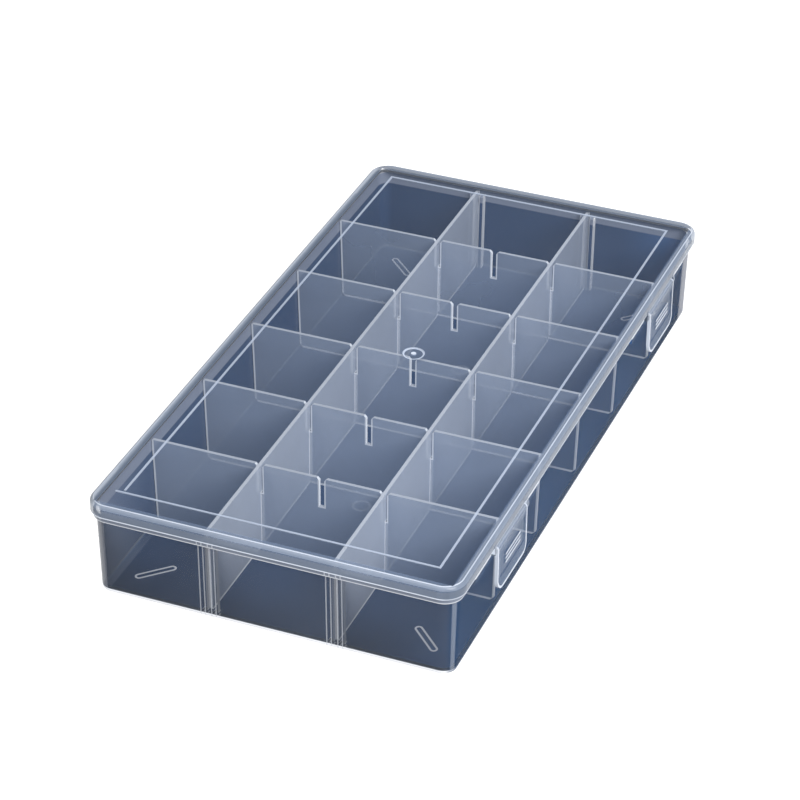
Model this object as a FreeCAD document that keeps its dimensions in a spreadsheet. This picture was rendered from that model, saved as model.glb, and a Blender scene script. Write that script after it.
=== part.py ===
import FreeCAD, Part
import math
import os
import Sketcher

# Compartment storage box in clear polypropylene, in millimetres.
# X runs across the box from the hinge side (-X) to the latch side (+X), Y runs along it
# from the front end (-Y) to the back end, and Z is up. The origin is under the middle of
# the box, on the plane that its feet stand on.

Vector = FreeCAD.Vector

dimensions = {
    # Tray: a drafted tub with a lip above an outward flange
    "box_width": 118.5,
    "box_length": 233.3,
    "tray_height": 31.7,
    "tray_wall": 1.2,
    "tray_floor": 1.2,
    "wall_flare": 0.8,
    "rim_corner": 5.2,
    "base_round": 1.0,
    "floor_round": 0.6,
    "lip_height": 2.9,
    "flange_thick": 2.0,
    "flange_reach": 0.85,
    "flange_round": 0.4,
    # Feet under the tray, one across each corner
    "foot_height": 0.8,
    "foot_length": 13.0,
    "foot_wide": 2.0,
    "foot_inset": 13.4,
    # Gate dimples under the tray
    "dimple_spread": 89.0,
    "dimple_width": 6.0,
    "dimple_depth": 0.35,
    # Lid: a flat plate with a short skirt
    "lid_fit": 0.35,
    "lid_gap": 0.4,
    "lid_plate": 1.2,
    "skirt_wall": 1.4,
    "lid_edge_round": 1.5,
    "skirt_edge_round": 0.4,
    "stack_clear": 1.3,
    "stack_rib_thick": 0.7,
    "stack_rib_height": 0.3,
    "stack_rib_overrun": 2.2,
    "stack_rib_break": 0.7,
    "relief_length": 190.0,
    "relief_depth": 0.55,
    "gate_width": 7.0,
    "gate_depth": 0.3,
    "gate_nub": 1.8,
    # Loose dividers that slot into each other
    "divider_thick": 1.1,
    "divider_foot": 0.9,
    "divider_drop": 0.2,
    "divider_fit": 0.3,
    "divider_corner_cut": 1.2,
    "column_pitch": 41.6,
    "row_end_room": 0.68,
    "slot_wide": 1.7,
    "slot_depth": 10.4,
    "slot_fit": 0.3,
    "slot_lead": 0.8,
    # Ribs on the end walls that hold the long dividers
    "guide_fit": 0.5,
    "guide_wide": 1.5,
    "guide_deep": 1.7,
    "guide_drop": 1.4,
    # Webs that join the hinge hooks and the latch lugs to the skirt
    "web_rise": 1.5,
    # Snap hinge on the -X side
    "hinge_inset": 59.15,
    "hinge_hook_wide": 19.4,
    "hinge_lug_wide": 2.0,
    "hinge_side_gap": 0.3,
    "hinge_pin": 2.0,
    "hinge_play": 0.07,
    "hinge_wall": 0.8,
    "hinge_mouth": 1.6,
    "hinge_gap": 0.4,
    "hinge_drop": 3.5,
    # Snap latches on the +X side
    "latch_inset": 42.95,
    "latch_width": 25.7,
    "latch_length": 15.4,
    "latch_thick": 1.0,
    "latch_flare": 0.3,
    "latch_flare_length": 4.0,
    "latch_corner": 4.0,
    "latch_pin": 1.0,
    "latch_play": 0.06,
    "latch_wall": 0.46,
    "latch_mouth": 0.8,
    "latch_head_gap": 0.3,
    "latch_lug_wide": 1.4,
    "latch_side_gap": 0.3,
    "latch_panel_border": 1.9,
    "latch_panel_depth": 0.3,
    "grip_long": 13.0,
    "grip_wide": 0.8,
    "grip_proud": 0.2,
    "grip_pitch": 1.5,
    "catch_length": 56.0,
    "catch_drop": 1.9,
    "notch_ledge": 0.15,
    "notch_drop": 0.7,
    "hook_width": 16.0,
    "hook_gap": 0.2,
    "hook_short": 0.15,
    "hook_thick": 0.7,
    "hook_slope": 1.8,
}
ROWS = 6
GRIP_BARS = 3
DIAGONAL = math.sqrt(0.5)


class Size:
    """A length together with the spreadsheet formula that it comes from."""

    def __init__(self, number, text):
        self.number = number
        self.text = text

    def __add__(self, other):
        other = as_size(other)
        return Size(self.number + other.number, f"({self.text} + {other.text})")

    def __sub__(self, other):
        other = as_size(other)
        return Size(self.number - other.number, f"({self.text} - {other.text})")

    def __mul__(self, other):
        other = as_size(other)
        return Size(self.number * other.number, f"({self.text} * {other.text})")

    def __truediv__(self, divisor):
        divisor = as_size(divisor)
        return Size(self.number / divisor.number, f"({self.text} / {divisor.text})")

    def __neg__(self):
        return Size(-self.number, f"(-1 * {self.text})")


def as_size(value):
    """Lets plain numbers stand beside named sizes."""
    if isinstance(value, Size):
        return value
    return Size(value, repr(float(value)))


def dim(name):
    """A driving dimension by its spreadsheet alias."""
    return Size(dimensions[name], "sizes." + name)


ZERO = as_size(0)

# Levels
base_level = dim("foot_height")
floor_level = base_level + dim("tray_floor")
lip_level = base_level + dim("tray_height")
flange_level = lip_level - dim("lip_height")
flange_under = flange_level - dim("flange_thick")
catch_under = flange_under - dim("catch_drop")
lid_under = lip_level + dim("lid_gap")
lid_level = lid_under + dim("lid_plate")
divider_level = lip_level - dim("divider_drop")
divider_height = divider_level - floor_level

# Half widths and half lengths in plan, as (X, Y)
rim_half = (dim("box_width") / 2, dim("box_length") / 2)
base_half = tuple(half - dim("wall_flare") for half in rim_half)
flange_half = tuple(half + dim("flange_reach") for half in rim_half)
lid_half = tuple(half + dim("lid_fit") + dim("skirt_wall") for half in rim_half)
lid_inner_half = tuple(half + dim("lid_fit") for half in rim_half)
flare_slope = dim("wall_flare") / dim("tray_height")
floor_flare = flare_slope * dim("tray_floor")
divider_flare = flare_slope * divider_height
inner_half = tuple(half + floor_flare - dim("tray_wall") for half in base_half)
base_corner = dim("rim_corner") - dim("wall_flare")
inner_corner = base_corner + floor_flare - dim("tray_wall")

# Feet, and the rib on the lid that a second box's feet stand inside
foot_reach = (dim("foot_length") - dim("foot_wide")) * (0.5 * DIAGONAL)
foot_at = tuple(half - dim("foot_inset") for half in base_half)
stack_half = tuple(
    at + foot_reach + dim("foot_wide") / 2 + dim("stack_clear") for at in foot_at
)

# Dividers
column_at = (-(dim("column_pitch") / 2), dim("column_pitch") / 2)
row_pitch = (inner_half[1] - dim("row_end_room")) * (2 / ROWS)
row_at = [row_pitch * (row - ROWS / 2) for row in range(1, ROWS)]
slot_level = divider_height - dim("slot_depth")

# Hinge and latch axes, as (X, Z)
hinge_radius = dim("hinge_pin") / 2 + dim("hinge_play") + dim("hinge_wall")
hinge_axis = (
    -(flange_half[0] + dim("hinge_gap") + hinge_radius),
    flange_level - dim("hinge_drop"),
)
hinge_reach = rim_half[1] - dim("hinge_inset")
hinge_at = (-hinge_reach, hinge_reach)
hinge_lug_at = (
    dim("hinge_hook_wide") / 2 + dim("hinge_side_gap") + dim("hinge_lug_wide") / 2
)
latch_radius = dim("latch_pin") / 2 + dim("latch_play") + dim("latch_wall")
latch_axis = (
    lid_inner_half[0] + latch_radius,
    flange_level - dim("latch_head_gap") - latch_radius,
)
latch_reach = rim_half[1] - dim("latch_inset")
latch_at = (-latch_reach, latch_reach)
latch_lug_at = (
    dim("latch_width") / 2 + dim("latch_side_gap") + dim("latch_lug_wide") / 2
)
notch_half = latch_lug_at + dim("latch_lug_wide") / 2 + dim("latch_side_gap")

doc = FreeCAD.newDocument("compartment_box")


def fill_sheet():
    """Writes the driving dimensions into the spreadsheet, one alias to a row."""
    sheet = doc.addObject("Spreadsheet::Sheet", "sizes")
    for row, (name, number) in enumerate(dimensions.items(), start=1):
        sheet.set(f"A{row}", name)
        sheet.set(f"B{row}", str(number))
        sheet.setAlias(f"B{row}", name)
    doc.recompute()


def bind(target, path, size):
    target.setExpression(path, as_size(size).text)


def origin_part(body, role):
    """A body's own origin plane or axis, by its role."""
    return next(part for part in body.Origin.OriginFeatures if part.Role == role)


def new_body(label, place=(ZERO, ZERO, ZERO)):
    body = doc.addObject("PartDesign::Body", label)
    body.Label = label
    for axis, size in zip("xyz", place):
        bind(body, f"Placement.Base.{axis}", size)
    return body


def new_sketch(body, name, role, offset=ZERO):
    """A sketch on one of the body's origin planes, moved along the plane's normal."""
    sketch = body.newObject("Sketcher::SketchObject", name)
    sketch.AttachmentSupport = [(origin_part(body, role), "")]
    sketch.MapMode = "FlatFace"
    bind(sketch, "AttachmentOffset.Base.z", offset)
    return sketch


def fix(sketch, kind, size, *points):
    """A driving constraint that follows the spreadsheet."""
    index = sketch.addConstraint(Sketcher.Constraint(kind, *points, size.number))
    name = f"{kind}{index}"
    sketch.renameConstraint(index, name)
    bind(sketch, f"Constraints.{name}", size)


def fix_point(sketch, geometry, end, point):
    """Holds a point of the sketch at its X and Y from the sketch's origin."""
    fix(sketch, "DistanceX", as_size(point[0]), -1, 1, geometry, end)
    fix(sketch, "DistanceY", as_size(point[1]), -1, 1, geometry, end)


def vector(point):
    return Vector(as_size(point[0]).number, as_size(point[1]).number, 0)


def polygon(sketch, points):
    """A closed outline of straight lines."""
    first = sketch.GeometryCount
    count = len(points)
    for index in range(count):
        start = vector(points[index])
        end = vector(points[(index + 1) % count])
        sketch.addGeometry(Part.LineSegment(start, end), False)
    for index in range(count):
        following = first + (index + 1) % count
        sketch.addConstraint(Sketcher.Constraint("Coincident", first + index, 2, following, 1))
        fix_point(sketch, first + index, 1, points[index])


def rectangle(sketch, low, high):
    polygon(sketch, [low, (high[0], low[1]), high, (low[0], high[1])])


def circle(sketch, centre, radius):
    index = sketch.addGeometry(
        Part.Circle(vector(centre), Vector(0, 0, 1), radius.number), False
    )
    fix(sketch, "Radius", radius, index)
    fix_point(sketch, index, 3, centre)


def rounded_box(sketch, half, corner):
    """A rectangle about the origin with round corners."""
    first = sketch.GeometryCount
    across, along = half
    inset = (across - corner, along - corner)
    lines = [
        ((-inset[0], -along), (inset[0], -along)),
        ((across, -inset[1]), (across, inset[1])),
        ((inset[0], along), (-inset[0], along)),
        ((-across, inset[1]), (-across, -inset[1])),
    ]
    centres = [
        (inset[0], -inset[1]),
        (inset[0], inset[1]),
        (-inset[0], inset[1]),
        (-inset[0], -inset[1]),
    ]
    for start, end in lines:
        sketch.addGeometry(Part.LineSegment(vector(start), vector(end)), False)
    for index, centre in enumerate(centres):
        turn = (index - 1) * math.pi / 2
        round_corner = Part.Circle(vector(centre), Vector(0, 0, 1), corner.number)
        sketch.addGeometry(Part.ArcOfCircle(round_corner, turn, turn + math.pi / 2), False)
    for index, ends in enumerate(lines):
        line = first + index
        arc = first + 4 + index
        sketch.addConstraint(Sketcher.Constraint("Tangent", line, 2, arc, 1))
        sketch.addConstraint(
            Sketcher.Constraint("Coincident", arc, 2, first + (index + 1) % 4, 1)
        )
        fix_point(sketch, line, 1, ends[0])
        fix_point(sketch, line, 2, ends[1])


def oblong(sketch, start, end, width):
    """A bar with round ends, from one end's centre to the other's."""
    first = sketch.GeometryCount
    radius = width / 2
    near = vector(start)
    far = vector(end)
    heading = math.atan2(far.y - near.y, far.x - near.x)
    side = Vector(-math.sin(heading), math.cos(heading), 0) * radius.number
    half_turn = math.pi / 2
    near_circle = Part.Circle(near, Vector(0, 0, 1), radius.number)
    far_circle = Part.Circle(far, Vector(0, 0, 1), radius.number)
    left = heading + half_turn
    right = heading - half_turn
    sketch.addGeometry(Part.ArcOfCircle(near_circle, left, left + math.pi), False)
    sketch.addGeometry(Part.LineSegment(near - side, far - side), False)
    sketch.addGeometry(Part.ArcOfCircle(far_circle, right, right + math.pi), False)
    sketch.addGeometry(Part.LineSegment(far + side, near + side), False)
    for index in range(4):
        following = first + (index + 1) % 4
        sketch.addConstraint(Sketcher.Constraint("Tangent", first + index, 2, following, 1))
    sketch.addConstraint(Sketcher.Constraint("Equal", first, first + 2))
    fix(sketch, "Radius", radius, first)
    fix_point(sketch, first, 3, start)
    fix_point(sketch, first + 2, 3, end)


def extrude(body, kind, sketch, length, reverse=False, middle=False):
    """A pad or pocket of a sketch."""
    feature = body.newObject(f"PartDesign::{kind}", f"{sketch.Name}_{kind.lower()}")
    feature.Profile = sketch
    bind(feature, "Length", length)
    feature.Reversed = reverse
    if middle:
        feature.SideType = "Symmetric"
    return feature


def pad(body, sketch, length, reverse=False, middle=False):
    return extrude(body, "Pad", sketch, length, reverse, middle)


def pocket(body, sketch, length, reverse=False, middle=False):
    """Cuts a sketch out of the body and makes sure that material went."""
    doc.recompute()
    before = body.Shape.Volume
    feature = extrude(body, "Pocket", sketch, length, reverse, middle)
    doc.recompute()
    if body.Shape.Volume >= before:
        raise RuntimeError(f"{feature.Name} cut nothing")
    return feature


def fillet(body, radius, wanted):
    """Rounds the edges of the body's last feature that the test picks."""
    doc.recompute()
    base = body.Tip
    names = [f"Edge{n}" for n, edge in enumerate(base.Shape.Edges, start=1) if wanted(edge)]
    feature = body.newObject("PartDesign::Fillet", f"{base.Name}_fillet")
    feature.Base = (base, names)
    bind(feature, "Radius", radius)
    doc.recompute()
    return feature


def draft(body, neutral_level, wanted, flip=False):
    """Leans the chosen side faces outward as they rise from a level face. Flip if it looks down."""
    doc.recompute()
    base = body.Tip
    faces = list(enumerate(base.Shape.Faces, start=1))
    feature = body.newObject("PartDesign::Draft", f"{base.Name}_draft")
    feature.Base = (base, [f"Face{n}" for n, face in faces if wanted(face)])
    level_faces = [n for n, face in faces if is_level(face, neutral_level.number)]
    feature.NeutralPlane = (base, [f"Face{level_faces[0]}"])
    feature.setExpression("Angle", f"atan({flare_slope.text})")
    feature.Reversed = flip


def is_level(shape, level):
    """Whether a face or an edge lies flat at a level."""
    box = shape.BoundBox
    return abs(box.ZMin - level) < 1e-6 and abs(box.ZMax - level) < 1e-6


def is_upright(face):
    box = face.BoundBox
    normal = face.normalAt(*face.Surface.parameter(face.CenterOfMass))
    return abs(normal.z) < 1e-6 and box.ZLength > 1e-6


def hinge_web(axis, radius, wall, rise):
    """Gusset from a knuckle to the skirt above it, on the side that the knuckle stands."""
    outward = 1 if axis[0].number > 0 else -1
    near_x = axis[0] - radius * outward
    far_x = axis[0] + radius * outward
    return [
        (near_x, axis[1]),
        (far_x, axis[1]),
        (wall, flange_level + rise),
        (near_x, flange_level + rise),
    ]


def knuckle(body, name, along, axis, radius, width, web):
    """Round knuckle with its web, as wide as it is told, centred at a place along Y."""
    disc = new_sketch(body, f"{name}_round", "XZ_Plane", -along)
    circle(disc, axis, radius)
    pad(body, disc, width, middle=True)
    arm = new_sketch(body, f"{name}_web", "XZ_Plane", -along)
    polygon(arm, web)
    pad(body, arm, width, middle=True)


def pin(body, name, along, axis, diameter, length):
    rod = new_sketch(body, name, "XZ_Plane", -along)
    circle(rod, axis, diameter / 2)
    pad(body, rod, length, middle=True)


def snap_bore(body, name, along, axis, bore, width, mouth):
    """Bore with a mouth narrower than the pin, so that the knuckle snaps on."""
    hole = new_sketch(body, f"{name}_bore", "XZ_Plane", -along)
    circle(hole, axis, bore)
    pocket(body, hole, width, middle=True)
    slot = new_sketch(body, f"{name}_mouth", "XZ_Plane", -along)
    rectangle(slot, *mouth)
    pocket(body, slot, width, middle=True)


def make_tray():
    body = new_body("tray")
    tub = new_sketch(body, "tub", "XY_Plane", base_level)
    rounded_box(tub, base_half, base_corner)
    pad(body, tub, dim("tray_height"))
    draft(body, base_level, is_upright, flip=True)
    fillet(body, dim("base_round"), lambda edge: is_level(edge, base_level.number))
    add_flange(body)
    add_hinge_lugs(body)
    hollow_tray(body)
    add_hinge_pins(body)
    add_guides(body)
    add_feet(body)
    return body


def add_flange(body):
    """Flange under the lid's skirt, with a deeper catch and a notch for each latch's head."""
    flange = new_sketch(body, "flange", "XY_Plane", flange_level)
    rounded_box(flange, flange_half, dim("rim_corner") + dim("flange_reach"))
    pad(body, flange, dim("flange_thick"), reverse=True)
    reach = flange_half[0].number

    def is_lower_rim(edge):
        outside = edge.BoundBox.XMax > reach - 1e-6 or edge.BoundBox.XMin < 1e-6 - reach
        return outside and is_level(edge, flange_under.number)

    fillet(body, dim("flange_round"), is_lower_rim)
    catches = new_sketch(body, "catches", "XY_Plane", flange_level)
    for along in latch_at:
        half = dim("catch_length") / 2
        inner_x = rim_half[0] - dim("tray_wall")
        rectangle(catches, (inner_x, along - half), (flange_half[0], along + half))
    pad(body, catches, dim("flange_thick") + dim("catch_drop"), reverse=True)
    notches = new_sketch(body, "latch_notches", "XY_Plane", flange_level)
    for along in latch_at:
        ledge = rim_half[0] + dim("notch_ledge")
        rectangle(notches, (ledge, along - notch_half), (lid_half[0], along + notch_half))
    pocket(body, notches, dim("flange_thick") + dim("notch_drop"))


def add_hinge_lugs(body):
    """Lugs on the wall that carry the ends of the hinge pins."""
    top = hinge_axis[1] + hinge_radius
    bottom = hinge_axis[1] - hinge_radius
    root = -(base_half[0] - dim("tray_wall") / 2)
    web = [(hinge_axis[0], bottom), (root, bottom), (root, top), (hinge_axis[0], top)]
    for station, along in enumerate(hinge_at, start=1):
        for side in (-1, 1):
            name = f"hinge_lug_{station}_{'front' if side < 0 else 'back'}"
            at = along + hinge_lug_at * side
            knuckle(body, name, at, hinge_axis, hinge_radius, dim("hinge_lug_wide"), web)


def hollow_tray(body):
    """Inside of the tub, leaning out like the outside."""
    cavity = new_sketch(body, "cavity", "XY_Plane", floor_level)
    rounded_box(cavity, inner_half, inner_corner)
    pocket(body, cavity, dim("tray_height") - dim("tray_floor"), reverse=True)
    inside = inner_half[1].number + 1e-6

    def is_cavity_wall(face):
        box = face.BoundBox
        tall = abs(box.ZMin - floor_level.number) < 1e-6
        return is_upright(face) and tall and max(abs(box.YMin), abs(box.YMax)) < inside

    draft(body, floor_level, is_cavity_wall)
    fillet(body, dim("floor_round"), lambda edge: is_level(edge, floor_level.number))


def add_hinge_pins(body):
    span = hinge_lug_at * 2
    for station, along in enumerate(hinge_at, start=1):
        pin(body, f"hinge_pin_{station}", along, hinge_axis, dim("hinge_pin"), span)


def add_guides(body):
    """Pairs of ribs on both end walls, which hold the long dividers upright."""
    height = lip_level - dim("guide_drop") - floor_level
    lean = flare_slope * height
    root = inner_half[1] + dim("tray_wall") / 2
    face = inner_half[1] - dim("guide_deep")
    level = floor_level + height
    offset = dim("divider_thick") / 2 + dim("guide_fit") + dim("guide_wide") / 2
    for column, across in enumerate(column_at, start=1):
        for side in (-1, 1):
            name = f"guide_{column}_{'left' if side < 0 else 'right'}"
            rib = new_sketch(body, name, "YZ_Plane", across + offset * side)
            polygon(
                rib,
                [
                    (face, floor_level),
                    (root, floor_level),
                    (root + lean, level),
                    (face + lean + dim("guide_deep") / 2, level),
                    (face + lean, level - dim("guide_deep") / 2),
                ],
            )
            polygon(
                rib,
                [
                    (-face, floor_level),
                    (-face - lean, level - dim("guide_deep") / 2),
                    (-face - lean - dim("guide_deep") / 2, level),
                    (-root - lean, level),
                    (-root, floor_level),
                ],
            )
            pad(body, rib, dim("guide_wide"), middle=True)


def add_feet(body):
    """Four feet across the corners, and the two gate dimples between them."""
    feet = new_sketch(body, "feet", "XY_Plane", base_level)
    for side_x in (-1, 1):
        for side_y in (-1, 1):
            near = tuple(
                (at - foot_reach) * side for at, side in zip(foot_at, (side_x, side_y))
            )
            far = tuple(
                (at + foot_reach) * side for at, side in zip(foot_at, (side_x, side_y))
            )
            oblong(feet, near, far, dim("foot_wide"))
    pad(body, feet, dim("foot_height"), reverse=True)
    dimples = new_sketch(body, "dimples", "XY_Plane", base_level)
    for side in (-1, 1):
        circle(dimples, (ZERO, dim("dimple_spread") * (side / 2)), dim("dimple_width") / 2)
    pocket(body, dimples, dim("dimple_depth"), reverse=True)


def make_lid():
    body = new_body("lid")
    slab = new_sketch(body, "slab", "XY_Plane", flange_level)
    corner = dim("rim_corner") + dim("lid_fit")
    rounded_box(slab, lid_half, corner + dim("skirt_wall"))
    pad(body, slab, lid_level - flange_level)
    fillet(body, dim("lid_edge_round"), lambda edge: is_level(edge, lid_level.number))
    fillet(body, dim("skirt_edge_round"), lambda edge: is_level(edge, flange_level.number))
    hollow = new_sketch(body, "hollow", "XY_Plane", flange_level)
    rounded_box(hollow, lid_inner_half, corner)
    pocket(body, hollow, lid_under - flange_level, reverse=True)
    relief = new_sketch(body, "relief", "XY_Plane", flange_level)
    reach = lid_inner_half[0] + dim("relief_depth")
    half_relief = dim("relief_length") / 2
    rectangle(relief, (-reach, -half_relief), (-rim_half[0], half_relief))
    pocket(body, relief, lid_under - flange_level, reverse=True)
    add_lid_marks(body)
    add_hinge_hooks(body)
    add_latch_pivots(body)
    return body


def add_lid_marks(body):
    """Stacking rib in a rectangle that is open at one corner, and the round gate mark."""
    rib = new_sketch(body, "stack_rib", "XY_Plane", lid_level)
    inner_x, inner_y = stack_half
    outer_x, outer_y = (half + dim("stack_rib_thick") for half in stack_half)
    overrun = -outer_x - dim("stack_rib_overrun")
    broken = -inner_y + dim("stack_rib_break")
    polygon(
        rib,
        [
            (overrun, -outer_y),
            (outer_x, -outer_y),
            (outer_x, outer_y),
            (-outer_x, outer_y),
            (-outer_x, broken),
            (-inner_x, broken),
            (-inner_x, inner_y),
            (inner_x, inner_y),
            (inner_x, -inner_y),
            (overrun, -inner_y),
        ],
    )
    pad(body, rib, dim("stack_rib_height"))
    gate = new_sketch(body, "gate", "XY_Plane", lid_level)
    circle(gate, (ZERO, ZERO), dim("gate_width") / 2)
    circle(gate, (ZERO, ZERO), dim("gate_nub") / 2)
    pocket(body, gate, dim("gate_depth"))


def add_hinge_hooks(body):
    """Hooks under the -X skirt that snap down over the tray's hinge pins."""
    web = hinge_web(hinge_axis, hinge_radius, -lid_half[0], dim("web_rise"))
    width = dim("hinge_hook_wide")
    bore = dim("hinge_pin") / 2 + dim("hinge_play")
    half_mouth = dim("hinge_mouth") / 2
    mouth = (
        (hinge_axis[0] - half_mouth, hinge_axis[1] - hinge_radius * 2),
        (hinge_axis[0] + half_mouth, hinge_axis[1]),
    )
    for station, along in enumerate(hinge_at, start=1):
        name = f"hinge_hook_{station}"
        knuckle(body, name, along, hinge_axis, hinge_radius, width, web)
        snap_bore(body, name, along, hinge_axis, bore, width, mouth)


def add_latch_pivots(body):
    """Pins under the +X skirt that the latches snap onto, each between two lugs."""
    web = hinge_web(latch_axis, latch_radius, lid_half[0], dim("web_rise"))
    span = latch_lug_at * 2
    for station, along in enumerate(latch_at, start=1):
        for side in (-1, 1):
            name = f"latch_lug_{station}_{'front' if side < 0 else 'back'}"
            at = along + latch_lug_at * side
            knuckle(body, name, at, latch_axis, latch_radius, dim("latch_lug_wide"), web)
        pin(body, f"latch_pin_{station}", along, latch_axis, dim("latch_pin"), span)


def make_latch(label, along):
    """Latch in its own frame: the pivot axis is its Y axis, and it hangs down."""
    body = new_body(label, (latch_axis[0], along, latch_axis[1]))
    centre = (ZERO, ZERO)
    barrel = new_sketch(body, f"{label}_barrel", "XZ_Plane")
    circle(barrel, centre, latch_radius)
    pad(body, barrel, dim("latch_width"), middle=True)
    bend = dim("latch_flare_length") - dim("latch_length")
    outer = latch_radius
    inner = latch_radius - dim("latch_thick")
    plate = new_sketch(body, f"{label}_plate", "XZ_Plane")
    polygon(
        plate,
        [
            (outer, ZERO),
            (inner, ZERO),
            (inner, bend),
            (inner + dim("latch_flare"), -dim("latch_length")),
            (outer + dim("latch_flare"), -dim("latch_length")),
            (outer, bend),
        ],
    )
    pad(body, plate, dim("latch_width"), middle=True)
    round_latch(body)
    add_hook(body, label, inner)
    add_grip(body, label, outer, bend)
    mouth = (
        (-(latch_radius * 2), -(dim("latch_mouth") / 2)),
        (ZERO, dim("latch_mouth") / 2),
    )
    bore = dim("latch_pin") / 2 + dim("latch_play")
    snap_bore(body, label, ZERO, centre, bore, dim("latch_width"), mouth)
    return body


def round_latch(body):
    """Rounds the two lower corners of the latch."""
    foot = -dimensions["latch_length"]
    side = dimensions["latch_width"] / 2

    def is_lower_corner(edge):
        box = edge.BoundBox
        at_side = min(abs(box.YMin), abs(box.YMax)) > side - 1e-6 and box.YLength < 1e-6
        return at_side and is_level(edge, foot)

    fillet(body, dim("latch_corner"), is_lower_corner)


def add_hook(body, label, inner):
    """Hook that swings in below the tray's catch and stops just short of its edge."""
    tip = flange_half[0] + dim("hook_short") - latch_axis[0]
    level = catch_under - dim("hook_gap") - latch_axis[1]
    hook = new_sketch(body, f"{label}_hook", "XZ_Plane")
    polygon(
        hook,
        [
            (tip, level),
            (tip, level - dim("hook_thick")),
            (inner, level - dim("hook_thick") - dim("hook_slope")),
            (inner + dim("latch_thick") / 2, level - dim("hook_thick") - dim("hook_slope")),
            (inner + dim("latch_thick") / 2, level),
        ],
    )
    pad(body, hook, dim("hook_width"), middle=True)


def add_grip(body, label, outer, bend):
    """Sunk panel on the latch's face with plain grip bars in it."""
    border = dim("latch_panel_border")
    half = dim("latch_width") / 2 - border
    panel = new_sketch(body, f"{label}_panel", "YZ_Plane", outer)
    rectangle(panel, (-half, bend), (half, -border))
    pocket(body, panel, dim("latch_panel_depth"))
    bars = new_sketch(body, f"{label}_grip", "YZ_Plane", outer - dim("latch_panel_depth"))
    middle = (bend - border) / 2
    for bar in range(GRIP_BARS):
        level = middle + dim("grip_pitch") * (bar - (GRIP_BARS - 1) / 2)
        rectangle(
            bars,
            (-(dim("grip_long") / 2), level - dim("grip_wide") / 2),
            (dim("grip_long") / 2, level + dim("grip_wide") / 2),
        )
    pad(body, bars, dim("latch_panel_depth") + dim("grip_proud"))


def divider_outline(half):
    """Side view of a divider that stands in the drafted tub, with its lower corners cut."""
    cut = dim("divider_corner_cut")
    foot = half - dim("divider_fit")
    top = foot + divider_flare
    return [
        (-foot + cut, ZERO),
        (foot - cut, ZERO),
        (foot, cut),
        (top, divider_height),
        (-top, divider_height),
        (-foot, cut),
    ]


def taper_divider(body, label, role, length):
    """Thins the divider towards its foot on both faces."""
    foot = dim("divider_foot") / 2
    top = dim("divider_thick") / 2
    outside = dim("divider_thick")
    for side in (-1, 1):
        wedge = new_sketch(body, f"{label}_taper_{'near' if side < 0 else 'far'}", role)
        polygon(
            wedge,
            [
                (foot * side, ZERO),
                (outside * side, ZERO),
                (outside * side, divider_height),
                (top * side, divider_height),
            ],
        )
        pocket(body, wedge, length * 2, middle=True)


def slot_outline(across, foot, mouth):
    """Slot from its closed foot to its mouth, which opens out so that the dividers find each other."""
    half = dim("slot_wide") / 2
    lead = dim("slot_lead")
    neck = mouth - lead if mouth.number > foot.number else mouth + lead
    return [
        (across - half, foot),
        (across + half, foot),
        (across + half, neck),
        (across + half + lead, mouth),
        (across - half - lead, mouth),
        (across - half, neck),
    ]


def make_long_divider(label, across):
    """Long divider: runs along Y, with slots from below for the cross dividers."""
    body = new_body(label, (across, ZERO, floor_level))
    side = new_sketch(body, f"{label}_side", "YZ_Plane")
    polygon(side, divider_outline(inner_half[1]))
    pad(body, side, dim("divider_thick"), middle=True)
    taper_divider(body, label, "XZ_Plane", inner_half[1] * 2)
    slot = new_sketch(body, f"{label}_slot", "YZ_Plane")
    polygon(slot, slot_outline(row_at[0], slot_level + dim("slot_fit"), ZERO))
    cut = pocket(body, slot, dim("divider_thick") * 2, middle=True)
    slots = body.newObject("PartDesign::LinearPattern", f"{label}_slots")
    slots.Originals = [cut]
    slots.Direction = (origin_part(body, "Y_Axis"), [""])
    bind(slots, "Length", row_at[-1] - row_at[0])
    slots.Occurrences = len(row_at)
    body.Tip = slots
    return body


def make_cross_divider(label, along):
    """Cross divider: runs along X, with slots from above and a spare one at the middle."""
    body = new_body(label, (ZERO, along, floor_level))
    side = new_sketch(body, f"{label}_side", "XZ_Plane")
    polygon(side, divider_outline(inner_half[0]))
    pad(body, side, dim("divider_thick"), middle=True)
    taper_divider(body, label, "YZ_Plane", inner_half[0] * 2)
    slots = new_sketch(body, f"{label}_slots", "XZ_Plane")
    for across in (column_at[0], ZERO, column_at[1]):
        polygon(slots, slot_outline(across, slot_level, divider_height))
    pocket(body, slots, dim("divider_thick") * 2, middle=True)
    return body


def make_parts():
    parts = [
        make_tray(),
        make_lid(),
        make_latch("latch_front", latch_at[0]),
        make_latch("latch_rear", latch_at[1]),
        make_long_divider("long_divider_left", column_at[0]),
        make_long_divider("long_divider_right", column_at[1]),
    ]
    for row, along in enumerate(row_at, start=1):
        parts.append(make_cross_divider(f"cross_divider_{row}", along))
    return parts


def check(parts):
    """Stops if a feature failed or a piece isn't one sound solid."""
    doc.recompute()
    for item in doc.Objects:
        if "Invalid" in item.State or "Error" in item.State:
            raise RuntimeError(f"{item.Name} failed: {item.State}")
    for part in parts:
        shape = part.Shape
        if shape.isNull() or not shape.isValid() or len(shape.Solids) != 1:
            raise RuntimeError(f"{part.Label} is not one valid solid")


def export(parts):
    os.makedirs("parts", exist_ok=True)
    for part in parts:
        part.Shape.exportStep(f"parts/{part.Label}.step")
        print(f"{part.Label}: {part.Shape.Volume:.1f} mm3")


fill_sheet()
all_parts = make_parts()
check(all_parts)
export(all_parts)
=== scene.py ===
import bpy
from mathutils import Matrix, Vector

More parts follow.
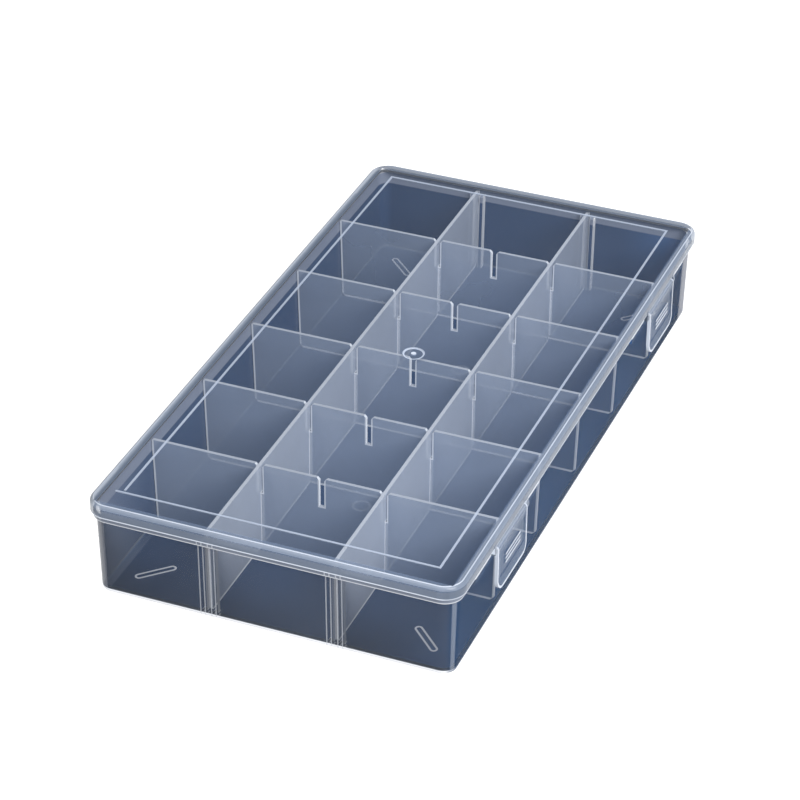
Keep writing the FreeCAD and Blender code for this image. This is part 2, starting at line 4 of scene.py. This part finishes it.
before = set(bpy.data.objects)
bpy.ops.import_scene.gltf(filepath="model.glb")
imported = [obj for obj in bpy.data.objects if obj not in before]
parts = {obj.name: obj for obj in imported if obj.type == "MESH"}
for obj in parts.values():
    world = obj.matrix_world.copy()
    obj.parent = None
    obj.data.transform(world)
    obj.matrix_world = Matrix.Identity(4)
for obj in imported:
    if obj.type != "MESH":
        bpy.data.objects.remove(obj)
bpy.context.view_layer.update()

scene = bpy.context.scene
print("box loaded:", ", ".join(sorted(parts)))

# all lengths in the shaders are millimetres
perMetre = 1000.0
beyond = 200.0  # further than any point of the box
upAxis, rightAxis, frontAxis = (0.0, 0.0, 1.0), (1.0, 0.0, 0.0), (0.0, -1.0, 0.0)


def addNode(tree, kind, **settings):
    node = tree.nodes.new(kind)
    for name, value in settings.items():
        setattr(node, name, value)
    return node


def plug(tree, socket, value):
    if isinstance(value, bpy.types.NodeSocket):
        tree.links.new(value, socket)
    else:
        socket.default_value = value


def calc(tree, operation, *values, clamp=False):
    node = addNode(tree, "ShaderNodeMath", operation=operation, use_clamp=clamp)
    for socket, value in zip(node.inputs, values):
        plug(tree, socket, value)
    return node.outputs[0]


def vecCalc(tree, operation, *values):
    node = addNode(tree, "ShaderNodeVectorMath", operation=operation)
    for socket, value in zip(node.inputs, values):
        plug(tree, socket, value)
    return node.outputs["Value" if operation == "DOT_PRODUCT" else "Vector"]


def ramp(tree, value, low, high, start=0.0, end=1.0):
    node = addNode(tree, "ShaderNodeMapRange", interpolation_type="SMOOTHSTEP")
    names = ("Value", "From Min", "From Max", "To Min", "To Max")
    for name, entry in zip(names, (value, low, high, start, end)):
        plug(tree, node.inputs[name], entry)
    return node.outputs["Result"]


def mixValue(tree, mask, first, second):
    node = addNode(tree, "ShaderNodeMix", data_type="FLOAT")
    for socket, value in zip((node.inputs[0], node.inputs[2], node.inputs[3]), (mask, first, second)):
        plug(tree, socket, value)
    return node.outputs[0]


def mixColour(tree, mask, first, second):
    node = addNode(tree, "ShaderNodeMix", data_type="RGBA")
    plug(tree, node.inputs[0], mask)
    for socket, colour in ((node.inputs[6], first), (node.inputs[7], second)):
        plug(tree, socket, (*colour, 1.0) if isinstance(colour, tuple) else colour)
    return node.outputs[2]


def newGroup(name, inputs, outputs):
    group = bpy.data.node_groups.new(name, "ShaderNodeTree")
    for label, kind, default in inputs:
        socket = group.interface.new_socket(label, in_out="INPUT", socket_type=kind)
        socket.default_value = default
    for label, kind in outputs:
        group.interface.new_socket(label, in_out="OUTPUT", socket_type=kind)
    return group, addNode(group, "NodeGroupInput").outputs, addNode(group, "NodeGroupOutput").inputs


def useGroup(tree, group, values):
    node = addNode(tree, "ShaderNodeGroup", node_tree=group)
    for name, value in values.items():
        plug(tree, node.inputs[name], value)
    return node.outputs


# where a point lies on its piece and which way the surface looks
def buildPlace():
    group, _, out = newGroup(
        "mouldPlace", [],
        [("Place", "NodeSocketVector"), ("Across", "NodeSocketFloat"), ("Along", "NodeSocketFloat"),
         ("Height", "NodeSocketFloat"), ("Normal", "NodeSocketVector")],
    )
    coords = addNode(group, "ShaderNodeTexCoord")
    place = vecCalc(group, "MULTIPLY", coords.outputs["Object"], (perMetre, perMetre, perMetre))
    split = addNode(group, "ShaderNodeSeparateXYZ")
    plug(group, split.inputs[0], place)
    plug(group, out["Place"], place)
    for name, socket in zip(("Across", "Along", "Height"), split.outputs):
        plug(group, out[name], socket)
    plug(group, out["Normal"], coords.outputs["Normal"])
    return group


# 1 between two limits, with soft sides
def buildBand():
    group, entry, out = newGroup(
        "edgeBand",
        [("Value", "NodeSocketFloat", 0.0), ("Low", "NodeSocketFloat", 0.0),
         ("High", "NodeSocketFloat", 1.0), ("Soft", "NodeSocketFloat", 0.1)],
        [("Mask", "NodeSocketFloat")],
    )
    foot = calc(group, "SUBTRACT", entry["Low"], entry["Soft"])
    rise = ramp(group, entry["Value"], foot, entry["Low"])
    tail = calc(group, "ADD", entry["High"], entry["Soft"])
    fall = ramp(group, entry["Value"], entry["High"], tail, 1.0, 0.0)
    plug(group, out["Mask"], calc(group, "MULTIPLY", rise, fall))
    return group


# 1 where a face looks along an axis, either way
def buildFacing(limits=(0.55, 0.85)):
    group, entry, out = newGroup(
        "faceTurn",
        [("Normal", "NodeSocketVector", upAxis), ("Axis", "NodeSocketVector", upAxis)],
        [("Mask", "NodeSocketFloat")],
    )
    turn = calc(group, "ABSOLUTE", vecCalc(group, "DOT_PRODUCT", entry["Normal"], entry["Axis"]))
    plug(group, out["Mask"], ramp(group, turn, *limits))
    return group


# cloudy flow of moulded polypropylene: a slow tone, fine haze and a faint bump
flow = {
    "cloudMiddle": 0.5, "cloudDetail": 3.0, "fineScale": 0.2, "fineDetail": 2.0, "fineBump": 0.05,
    "fineRange": (0.3, 0.7), "polish": (0.13, 0.24),
}


def buildFlow(settings):
    group, entry, out = newGroup(
        "mouldFlow",
        [("Place", "NodeSocketVector", (0.0, 0.0, 0.0)), ("Cloud Size", "NodeSocketFloat", 40.0),
         ("Depth", "NodeSocketFloat", 0.2)],
        [("Tone", "NodeSocketFloat"), ("Polish", "NodeSocketFloat"), ("Height", "NodeSocketFloat")],
    )
    cloudScale = calc(group, "DIVIDE", 1.0, entry["Cloud Size"])
    noises = []
    grains = (cloudScale, settings["cloudDetail"]), (settings["fineScale"], settings["fineDetail"])
    for scale, detail in grains:
        noise = addNode(group, "ShaderNodeTexNoise", noise_dimensions="3D")
        for name, value in (("Vector", entry["Place"]), ("Scale", scale), ("Detail", detail)):
            plug(group, noise.inputs[name], value)
        noises.append(noise.outputs[0])
    cloud, fine = noises
    swing = calc(group, "MULTIPLY", calc(group, "SUBTRACT", cloud, settings["cloudMiddle"]), entry["Depth"])
    plug(group, out["Tone"], calc(group, "ADD", 1.0, swing))
    plug(group, out["Polish"], ramp(group, fine, *settings["fineRange"], *settings["polish"]))
    fineBump = calc(group, "MULTIPLY", fine, settings["fineBump"])
    plug(group, out["Height"], calc(group, "ADD", cloud, fineBump))
    return group


mouldPlace = buildPlace()
edgeBand = buildBand()
faceTurn = buildFacing()
mouldFlow = buildFlow(flow)
print("shader groups ready")


# masks

def band(tree, value, low, high, soft=0.1):
    return useGroup(tree, edgeBand, {"Value": value, "Low": low, "High": high, "Soft": soft})["Mask"]


def above(tree, value, low, soft=0.1):
    return band(tree, value, low, beyond, soft)


def below(tree, value, high, soft=0.1):
    return band(tree, value, -beyond, high, soft)


def looks(tree, place, axis):
    return useGroup(tree, faceTurn, {"Normal": place["Normal"], "Axis": axis})["Mask"]


def aimed(tree, place, axis):
    return vecCalc(tree, "DOT_PRODUCT", place["Normal"], axis)


# how far a face looks away from the middle of the box
def outward(tree, place):
    flat = vecCalc(tree, "MULTIPLY", place["Place"], (1.0, 1.0, 0.0))
    return vecCalc(tree, "DOT_PRODUCT", flat, place["Normal"])


def chain(tree, operation, values):
    result = values[0]
    for value in values[1:]:
        result = calc(tree, operation, result, value)
    return result


def both(tree, *masks):
    return chain(tree, "MULTIPLY", masks)


def either(tree, *masks):
    return chain(tree, "MAXIMUM", masks)


def flip(tree, mask):
    return calc(tree, "SUBTRACT", 1.0, mask)


def size(tree, value):
    return calc(tree, "ABSOLUTE", value)


def apart(tree, value, middle):
    return size(tree, calc(tree, "SUBTRACT", value, middle))


def reach(tree, first, second):
    squares = [calc(tree, "MULTIPLY", value, value) for value in (first, second)]
    return calc(tree, "SQRT", calc(tree, "ADD", *squares))


# a tone, and a density if it has one, over the colour and alpha so far
def over(tree, coat, mask, tone, density=None):
    colour, alpha = coat
    colour = mixColour(tree, mask, colour, tone)
    return colour, alpha if density is None else mixValue(tree, mask, alpha, density)


plastic = {"ior": 1.49, "ripple": 0.1, "bumpDepth": 0.0004}


def clearPlastic(name, settings, paint):
    material = bpy.data.materials.new(name)
    material.use_nodes = True
    tree = material.node_tree
    shader = tree.nodes["Principled BSDF"]
    shader.inputs["IOR"].default_value = plastic["ior"]
    shader.inputs["Specular IOR Level"].default_value = settings["gloss"]
    place = useGroup(tree, mouldPlace, {})
    clouds = {"Place": place["Place"], "Cloud Size": settings["cloudSize"], "Depth": settings["cloudDepth"]}
    clouded = useGroup(tree, mouldFlow, clouds)
    colour, alpha, glow, backed = paint(tree, place, settings)
    grey = addNode(tree, "ShaderNodeCombineColor")
    for socket in grey.inputs:
        plug(tree, socket, clouded["Tone"])
    toned = addNode(tree, "ShaderNodeMix", data_type="RGBA", blend_type="MULTIPLY")
    toned.inputs[0].default_value = 1.0
    plug(tree, toned.inputs[6], colour)
    plug(tree, toned.inputs[7], grey.outputs[0])
    plug(tree, shader.inputs["Base Color"], toned.outputs[2])
    plug(tree, shader.inputs["Roughness"], clouded["Polish"])
    bump = addNode(tree, "ShaderNodeBump")
    bump.inputs["Strength"].default_value = plastic["ripple"]
    bump.inputs["Distance"].default_value = plastic["bumpDepth"]
    plug(tree, bump.inputs["Height"], clouded["Height"])
    plug(tree, shader.inputs["Normal"], bump.outputs[0])
    # painted glow: the edges emit light, as if light caught in the plastic came out there
    shader.inputs["Emission Strength"].default_value = settings["glow"]
    plug(tree, shader.inputs["Emission Color"], mixColour(tree, glow, (0.0, 0.0, 0.0), settings["glowTone"]))
    # only the side that is looked at shows, so one wall is one layer
    side = addNode(tree, "ShaderNodeNewGeometry")
    hidden = calc(tree, "SUBTRACT", side.outputs["Backfacing"], backed, clamp=True)
    hazed = calc(tree, "POWER", alpha, calc(tree, "SUBTRACT", 2.0, clouded["Tone"]), clamp=True)
    plug(tree, shader.inputs["Alpha"], both(tree, hazed, flip(tree, hidden)))
    return material


def dress(material, *names):
    for name in names:
        mesh = parts[name].data
        mesh.materials.clear()
        mesh.materials.append(material)


tray = {
    "gloss": 0.14, "cloudSize": 60.0, "cloudDepth": 0.3, "glow": 0.2, "glowTone": (0.80, 0.84, 0.92),
    "inside": (0.023, 0.047, 0.104), "insideAlpha": 0.99,
    "leftLight": (0.10, 0.13, 0.20), "leftWall": -55.0, "leftRun": (-114.0, -70.0),
    "rightLight": (0.045, 0.095, 0.21), "rightRun": (30.0, 56.0),
    "seamTone": (0.11, 0.135, 0.18), "seamFoot": 1.0, "seamTop": 2.75,
    "outside": (0.20, 0.225, 0.27), "outsideAlpha": 0.15, "outFace": 0.5,
    "rightWallShade": (0.06, 0.14, 0.29), "rightTurn": (0.4, 0.9),
    "rim": (0.16, 0.18, 0.225), "rimAlpha": 0.85, "rimLevel": 27.5, "rimTop": 29.7, "hingeSide": -60.2,
    "lipInside": (0.18, 0.205, 0.265), "caughtLevel": 28.4, "farLeft": -56.0, "farBack": 113.0,
    "edge": (0.36, 0.37, 0.39), "edgeAlpha": 0.92, "lipTop": 32.4, "hemHigh": 0.55,
    "corner": (0.848, -0.530, 0.0), "cornerTurn": 0.993, "cornerTop": 27.0,
    "cornerTone": (0.26, 0.30, 0.37), "cornerAlpha": 0.4,
    "leftEnd": -55.2, "leftEndTone": (0.105, 0.115, 0.14), "frontTurn": (0.1, 0.3),
    "rightEnd": 106.0, "rightEndTone": (0.05, 0.062, 0.10), "endTop": 27.4, "endAlpha": 0.95,
    "baseHighlightTone": (0.62, 0.62, 0.63), "baseEdge": 2.15, "baseFace": 3.0, "baseRight": 0.3,
    "underTone": (0.012, 0.019, 0.034), "under": 1.4, "floorTop": 2.3,
    "mark": (0.36, 0.38, 0.42), "markLine": 0.22,
    "foot": (45.05, 102.45), "footTurn": 0.7071, "footReach": 5.5, "footHalf": 1.0, "footSoft": 0.2,
    "dimple": 44.5, "dimpleHalf": 2.7, "dimpleSoft": 0.4, "dimpleShare": 0.35,
    "columns": (-20.8, 20.8), "guideSides": (1.05, 2.55), "guideLine": 0.16, "guideEnd": 112.7,
    "guideTop": 31.0, "guideShare": 0.6,
}


def paintTray(tree, place, settings):
    across, along, height = place["Across"], place["Along"], place["Height"]
    level = looks(tree, place, upAxis)
    away = outward(tree, place)
    onFloor = both(tree, level, below(tree, height, settings["floorTop"], soft=0.3))
    outer = both(tree, calc(tree, "GREATER_THAN", away, settings["outFace"]), flip(tree, onFloor))
    right = ramp(tree, aimed(tree, place, rightAxis), *settings["rightTurn"])

    # dark inside, with painted light along the left and right walls to lift their shade, and lighter in the
    # round above the floor
    nearLeft = ramp(tree, along, *settings["leftRun"], 1.0, 0.0)
    nearLeft = both(tree, below(tree, across, settings["leftWall"], soft=1.0), nearLeft)
    nearRight = ramp(tree, across, *settings["rightRun"])
    seam = band(tree, height, settings["seamFoot"], settings["seamTop"], soft=0.15)
    inside = mixColour(tree, nearRight, settings["inside"], settings["rightLight"])
    inside = mixColour(tree, nearLeft, inside, settings["leftLight"])
    inside = mixColour(tree, both(tree, flip(tree, level), seam), inside, settings["seamTone"])
    # painted shade: walls that face right are darker and bluer than the walls that face front
    walls = mixColour(tree, right, settings["outside"], settings["rightWallShade"])
    coat = over(tree, (inside, settings["insideAlpha"]), outer, walls, settings["outsideAlpha"])

    # flange, hinge lugs, the light inside the far lips and the marks in the floor
    rim = both(tree, outer, band(tree, height, settings["rimLevel"], settings["rimTop"]))
    pale = either(tree, rim, below(tree, across, settings["hingeSide"]))
    coat = over(tree, coat, pale, settings["rim"], settings["rimAlpha"])
    farLeft = below(tree, across, settings["farLeft"], soft=0.5)
    farBack = above(tree, along, settings["farBack"], soft=0.5)
    caught = above(tree, height, settings["caughtLevel"], soft=0.6)
    caught = both(tree, caught, either(tree, farLeft, farBack), flip(tree, outer))
    coat = over(tree, coat, caught, settings["lipInside"])
    marks = either(tree, footLine(tree, across, along, settings), dimpleLine(tree, across, along, settings))
    marks = both(tree, onFloor, marks)
    coat = over(tree, coat, marks, settings["mark"])

    # a painted highlight down the near corner, then the ends of the walls, which are looked at along the
    # plastic and close up
    corner = above(tree, aimed(tree, place, settings["corner"]), settings["cornerTurn"], soft=0.02)
    corner = both(tree, outer, corner, below(tree, height, settings["cornerTop"], soft=0.3))
    coat = over(tree, coat, corner, settings["cornerTone"], settings["cornerAlpha"])
    toFront = ramp(tree, aimed(tree, place, frontAxis), *settings["frontTurn"])
    leftEnd = both(tree, below(tree, across, settings["leftEnd"], soft=0.4), toFront)
    rightEnd = both(tree, above(tree, along, settings["rightEnd"], soft=0.6), right)
    endTone = mixColour(tree, rightEnd, settings["leftEndTone"], settings["rightEndTone"])
    wallEnd = both(tree, outer, either(tree, leftEnd, rightEnd),
                   below(tree, height, settings["endTop"], soft=0.2))
    coat = over(tree, coat, wallEnd, endTone, settings["endAlpha"])

    # painted highlights: a bright line round the base, weaker on walls that face right, then the lip, the
    # hem of the flange and the guide ribs
    baseHighlight = both(tree, calc(tree, "GREATER_THAN", away, settings["baseFace"]),
                below(tree, height, settings["baseEdge"]), mixValue(tree, right, 1.0, settings["baseRight"]))
    coat = over(tree, coat, baseHighlight, settings["baseHighlightTone"], settings["edgeAlpha"])
    hemTop = settings["rimLevel"] + settings["hemHigh"]
    hem = both(tree, outer, band(tree, height, settings["rimLevel"], hemTop, soft=0.15))
    guides = guideLines(tree, across, along, height, settings)
    bright = either(tree, guides, above(tree, height, settings["lipTop"]), hem)
    coat = over(tree, coat, bright, settings["edge"], settings["edgeAlpha"])
    backed = both(tree, level, below(tree, height, settings["under"]))
    coat = over(tree, coat, backed, settings["underTone"])
    return *coat, either(tree, marks, guides, baseHighlight, hem), backed


# outline of the oblong feet, which shows through the floor
def footLine(tree, across, along, settings):
    offX = calc(tree, "SUBTRACT", size(tree, across), settings["foot"][0])
    offY = calc(tree, "SUBTRACT", size(tree, along), settings["foot"][1])
    run = calc(tree, "MULTIPLY", calc(tree, "ADD", offX, offY), settings["footTurn"])
    wide = calc(tree, "MULTIPLY", calc(tree, "SUBTRACT", offX, offY), settings["footTurn"])
    past = calc(tree, "MAXIMUM", calc(tree, "SUBTRACT", size(tree, run), settings["footReach"]), 0.0)
    gap = apart(tree, reach(tree, past, wide), settings["footHalf"])
    return ramp(tree, gap, settings["markLine"], settings["markLine"] + settings["footSoft"], 1.0, 0.0)


# faint ring of each gate dimple
def dimpleLine(tree, across, along, settings):
    offY = calc(tree, "SUBTRACT", size(tree, along), settings["dimple"])
    gap = apart(tree, reach(tree, across, offY), settings["dimpleHalf"])
    soft = settings["markLine"] + settings["dimpleSoft"]
    return ramp(tree, gap, settings["markLine"], soft, settings["dimpleShare"], 0.0)


# painted highlights along the thin sides of the ribs that hold the long dividers
def guideLines(tree, across, along, height, settings):
    ends = above(tree, size(tree, along), settings["guideEnd"], soft=0.05)
    low = below(tree, height, settings["guideTop"])
    lines = []
    for column in settings["columns"]:
        off = apart(tree, across, column)
        for side in settings["guideSides"]:
            lines.append(band(tree, off, side - settings["guideLine"], side + settings["guideLine"]))
    return both(tree, ends, low, either(tree, *lines), settings["guideShare"])


lid = {
    "gloss": 0.22, "cloudSize": 70.0, "cloudDepth": 0.35, "glow": 0.25, "glowTone": (0.85, 0.88, 0.92),
    "plate": (0.36, 0.46, 0.66), "plateAlpha": 0.06,
    "border": (0.145, 0.19, 0.275), "borderAlpha": 0.6, "half": (61.0, 118.4), "borderInset": 2.3,
    "borderSoft": 0.5,
    "leftTone": (0.28, 0.32, 0.39), "leftWide": 3.4, "backTone": (0.13, 0.165, 0.235), "backWide": 4.2,
    "farTone": (0.10, 0.125, 0.17), "farAlpha": 0.88, "farLine": (0.35, 0.85), "farFade": (1.2, 3.2),
    "skirt": (0.15, 0.18, 0.235), "skirtAlpha": 0.78, "skirtTop": 32.4, "skirtEdge": 30.1, "hemFoot": 28.0,
    "edge": (0.42, 0.46, 0.53), "edgeAlpha": 0.94, "topEdge": 0.93, "topLine": 0.985,
    "litSide": (0.7, -0.7, 0.0), "litTurn": (-0.3, 0.3), "rightTurn": (0.1, 0.5), "rightLight": 0.6,
    "outFace": 0.5, "shade": 0.25, "shadeTone": (0.06, 0.075, 0.10),
    "roundLight": 0.38, "roundLow": 0.25, "roundHigh": 0.93,
    "ribLevel": 34.16, "ribShare": 0.8, "lugFace": 61.15, "lugAlpha": 0.55,
    "gateHalf": 3.35, "gateLine": 0.2, "gateSoft": 0.25, "gateShare": 0.8, "nub": (0.7, 1.1),
}


def paintLid(tree, place, settings):
    across, along, height = place["Across"], place["Along"], place["Height"]
    insetX = calc(tree, "SUBTRACT", settings["half"][0], size(tree, across))
    insetY = calc(tree, "SUBTRACT", settings["half"][1], size(tree, along))
    inset = calc(tree, "MINIMUM", insetX, insetY)
    inner = settings["borderInset"]
    border = ramp(tree, inset, inner, inner + settings["borderSoft"], 1.0, 0.0)
    plate = (settings["plate"], settings["plateAlpha"])
    coat = over(tree, plate, border, settings["border"], settings["borderAlpha"])

    # the two far edges are seen against their own skirt: a dark line, then a tone that fades inward
    left = below(tree, across, settings["leftWide"] - settings["half"][0], soft=0.3)
    back = above(tree, along, settings["half"][1] - settings["backWide"], soft=0.5)
    fade = mixColour(tree, back, settings["leftTone"], settings["backTone"])
    fade = mixColour(tree, ramp(tree, inset, *settings["farFade"]), fade, settings["farTone"])
    fade = mixColour(tree, band(tree, inset, *settings["farLine"], soft=0.15), fade, settings["farTone"])
    coat = over(tree, coat, either(tree, left, back), fade, settings["farAlpha"])
    skirt = both(tree, border, below(tree, height, settings["skirtTop"], soft=0.3))
    coat = over(tree, coat, skirt, settings["skirt"], settings["skirtAlpha"])

    # outward faces to the front and right are lit, the others are in shade
    lit = ramp(tree, aimed(tree, place, settings["litSide"]), *settings["litTurn"])
    toRight = ramp(tree, aimed(tree, place, rightAxis), *settings["rightTurn"])
    lit = both(tree, lit, calc(tree, "GREATER_THAN", outward(tree, place), settings["outFace"]),
               mixValue(tree, toRight, 1.0, settings["rightLight"]))
    tilt = size(tree, aimed(tree, place, upAxis))
    dark = both(tree, border, below(tree, tilt, settings["topEdge"], soft=0.03), flip(tree, lit))
    coat = over(tree, coat, dark, settings["shadeTone"], settings["farAlpha"])

    # painted highlights on the round of the border, its top line, the hem and the stacking rib, and a pale
    # ring and dot for the gate mark
    rounded = both(tree, border, band(tree, tilt, settings["roundLow"], settings["roundHigh"], soft=0.06),
                   above(tree, height, settings["skirtTop"], soft=0.4), settings["roundLight"],
                   mixValue(tree, lit, settings["shade"], 1.0))
    topLine = both(tree, border, lit, band(tree, tilt, settings["topEdge"], settings["topLine"], soft=0.01))
    hem = both(tree, border, lit, band(tree, height, settings["hemFoot"], settings["skirtEdge"], soft=0.15))
    rib = both(tree, above(tree, height, settings["ribLevel"], soft=0.03), settings["ribShare"])
    middle = reach(tree, across, along)
    ring = apart(tree, middle, settings["gateHalf"])
    ringSoft = settings["gateLine"] + settings["gateSoft"]
    gate = ramp(tree, ring, settings["gateLine"], ringSoft, settings["gateShare"], 0.0)
    nub = ramp(tree, middle, *settings["nub"], 1.0, 0.0)
    bright = either(tree, rib, hem, rounded, gate, nub, topLine)
    coat = over(tree, coat, bright, settings["edge"], settings["edgeAlpha"])
    lug = above(tree, across, settings["lugFace"], soft=0.05)
    coat = over(tree, coat, lug, settings["skirt"], settings["lugAlpha"])
    return *coat, either(tree, hem, topLine, gate, nub), 0.0


latch = {
    "gloss": 0.3, "cloudSize": 20.0, "cloudDepth": 0.3, "glow": 0.2, "glowTone": (0.85, 0.88, 0.92),
    "plate": (0.16, 0.21, 0.30), "plateAlpha": 0.32,
    "edge": (0.37, 0.405, 0.47), "edgeAlpha": 0.9,
    "gripShare": 0.95, "gripFace": 61.7, "gripTop": 61.95, "gripFoot": 16.9,
    "barrelLevel": 27.6, "barrelShare": 0.35,
    "foot": 12.88, "centre": 73.7, "side": 12.85, "bend": 4.0, "outline": 0.45, "outlineSoft": 0.6,
}


def paintLatch(tree, place, settings):
    height = place["Height"]
    # painted highlights on the barrel, the grip ribs and the rounded outline
    barrel = both(tree, above(tree, height, settings["barrelLevel"], soft=0.2), settings["barrelShare"])
    grip = both(tree, band(tree, place["Across"], settings["gripFace"], settings["gripTop"], soft=0.02),
                looks(tree, place, rightAxis), above(tree, height, settings["gripFoot"]),
                settings["gripShare"])
    # depth inside the rounded outline
    bend = settings["bend"]
    off = apart(tree, size(tree, place["Along"]), settings["centre"])
    pastSide = calc(tree, "MAXIMUM", calc(tree, "SUBTRACT", off, settings["side"] - bend), 0.0)
    pastFoot = calc(tree, "MAXIMUM", calc(tree, "SUBTRACT", settings["foot"] + bend, height), 0.0)
    depth = calc(tree, "SUBTRACT", bend, reach(tree, pastSide, pastFoot))
    outlineEnd = settings["outline"] + settings["outlineSoft"]
    outline = ramp(tree, depth, settings["outline"], outlineEnd, 1.0, 0.0)
    plate = (settings["plate"], settings["plateAlpha"])
    bright = either(tree, outline, barrel, grip)
    return *over(tree, plate, bright, settings["edge"], settings["edgeAlpha"]), outline, 0.0


divider = {
    "gloss": 0.25, "cloudSize": 60.0, "cloudDepth": 0.35, "glow": 0.4, "glowTone": (0.85, 0.88, 0.92),
    "edgeAlpha": 0.95, "lineTone": (0.62, 0.65, 0.70), "line": 0.7, "lineSoft": 0.15,
    "slotHalf": 1.25, "foot": 2.7, "draft": 0.0254,
    "frontLightRun": (-100.0, 90.0), "shineRun": (44.0, 54.0), "plain": 0.5,
}

longDivider = {
    **divider, "axis": rightAxis, "run": "Along", "end": 113.8,
    "panel": (0.40, 0.445, 0.53), "panelAlpha": 0.73, "backAlpha": 0.6, "edge": (0.36, 0.385, 0.43),
    "slots": (-76.0, -38.0, 0.0, 38.0, 76.0), "slotLow": -1.0, "slotHigh": 22.6,
}

crossDivider = {
    **divider, "axis": (0.0, 1.0, 0.0), "run": "Across", "end": 56.4,
    "panel": (0.30, 0.36, 0.47), "panelAlpha": 0.66, "backAlpha": 0.47, "edge": (0.30, 0.325, 0.37),
    "slots": (-20.8, 0.0, 20.8), "slotLow": 21.5, "slotHigh": 60.0,
}


def paintDivider(tree, place, settings):
    run, height, soft = place[settings["run"]], place["Height"], settings["lineSoft"]
    panel = looks(tree, place, settings["axis"])
    rim = flip(tree, panel)
    # painted highlights: pale lines on the panel at its ends, its foot and its slots, and on its edge faces
    lean = calc(tree, "MULTIPLY", height, settings["draft"])
    end = above(tree, calc(tree, "SUBTRACT", size(tree, run), lean), settings["end"], soft)
    foot = below(tree, height, settings["foot"], soft)
    slots = [below(tree, apart(tree, run, slot), settings["slotHalf"]) for slot in settings["slots"]]
    slotted = both(tree, either(tree, *slots), band(tree, height, settings["slotLow"], settings["slotHigh"]))
    drawn = both(tree, panel, either(tree, end, foot, slotted), settings["line"])
    ends = both(tree, rim, flip(tree, looks(tree, place, upAxis)))
    lines = either(tree, drawn, ends)
    colour = mixColour(tree, panel, settings["edge"], settings["panel"])
    # painted light: the panels are denser, and so paler, toward the front of the box
    paintedFrontLight = ramp(tree, place["Along"], *settings["frontLightRun"], settings["panelAlpha"], settings["backAlpha"])
    colour = mixColour(tree, lines, colour, settings["lineTone"])
    alpha = mixValue(tree, either(tree, rim, drawn), paintedFrontLight, settings["edgeAlpha"])
    # the ends shine near the right wall
    shine = ramp(tree, place["Across"], *settings["shineRun"], settings["plain"], 1.0)
    return colour, alpha, both(tree, lines, shine), 0.0


crossNames = [name for name in parts if name.startswith("cross_divider")]
dress(clearPlastic("clearTray", tray, paintTray), "tray")
dress(clearPlastic("clearLid", lid, paintLid), "lid")
dress(clearPlastic("clearLatch", latch, paintLatch), "latch_front", "latch_rear")
dress(clearPlastic("hazyLongDivider", longDivider, paintDivider), "long_divider_left", "long_divider_right")
dress(clearPlastic("hazyCrossDivider", crossDivider, paintDivider), *crossNames)
print("plastic dressed")


studio = {
    "floorSize": 6.0, "floorTone": (0.30, 0.30, 0.30), "floorGlow": 0.95, "floorRoughness": 0.9,
    "worldTone": (0.80, 0.86, 0.95), "worldStrength": 0.45,
    "lampTarget": (0.0, 0.0, 0.02),
    "lamps": [
        {"name": "topSoft", "at": (-0.25, 0.25, 1.3), "size": 1.4, "watts": 8.0},
        {"name": "keySoft", "at": (0.9, -0.6, 0.9), "size": 0.8, "watts": 26.0},
    ],
    "clearLayers": 64,
}


def buildStudio(settings):
    bpy.ops.mesh.primitive_plane_add(size=settings["floorSize"])
    floor = bpy.context.object
    floor.name = "studioFloor"
    material = bpy.data.materials.new("paleFloor")
    material.use_nodes = True
    shader = material.node_tree.nodes["Principled BSDF"]
    shader.inputs["Base Color"].default_value = (*settings["floorTone"], 1.0)
    shader.inputs["Roughness"].default_value = settings["floorRoughness"]
    shader.inputs["Specular IOR Level"].default_value = 0.0
    shader.inputs["Emission Color"].default_value = (1.0, 1.0, 1.0, 1.0)
    shader.inputs["Emission Strength"].default_value = settings["floorGlow"]
    floor.data.materials.append(material)
    world = bpy.data.worlds.new("studioWorld")
    world.use_nodes = True
    sky = world.node_tree.nodes["Background"]
    sky.inputs["Color"].default_value = (*settings["worldTone"], 1.0)
    sky.inputs["Strength"].default_value = settings["worldStrength"]
    scene.world = world
    for lamp in settings["lamps"]:
        light = bpy.data.lights.new(lamp["name"], "AREA")
        light.shape = "SQUARE"
        light.size = lamp["size"]
        light.energy = lamp["watts"]
        holder = bpy.data.objects.new(lamp["name"], light)
        holder.location = lamp["at"]
        aim = Vector(settings["lampTarget"]) - Vector(lamp["at"])
        holder.rotation_euler = aim.to_track_quat("-Z", "Y").to_euler()
        scene.collection.objects.link(holder)
    scene.view_settings.view_transform = "Standard"
    scene.view_settings.look = "None"
    scene.cycles.transparent_max_bounces = settings["clearLayers"]


camera = {
    "at": (0.311508, -0.798610, 0.560926),
    "right": (0.928164, 0.372109, 0.006833),
    "up": (-0.205000, 0.495842, 0.843868),
    "back": (0.310623, -0.784650, 0.536506),
    "lens": 138.858, "sensor": 36.0, "clip": (0.05, 20.0),
}


def buildCamera(settings):
    lens = bpy.data.cameras.new("photoCamera")
    lens.sensor_width = settings["sensor"]
    lens.lens = settings["lens"]
    lens.clip_start, lens.clip_end = settings["clip"]
    holder = bpy.data.objects.new("photoCamera", lens)
    turn = Matrix((settings["right"], settings["up"], settings["back"])).transposed()
    holder.matrix_world = Matrix.Translation(settings["at"]) @ turn.to_4x4()
    scene.collection.objects.link(holder)
    scene.camera = holder


buildStudio(studio)
buildCamera(camera)
print("studio and camera ready")
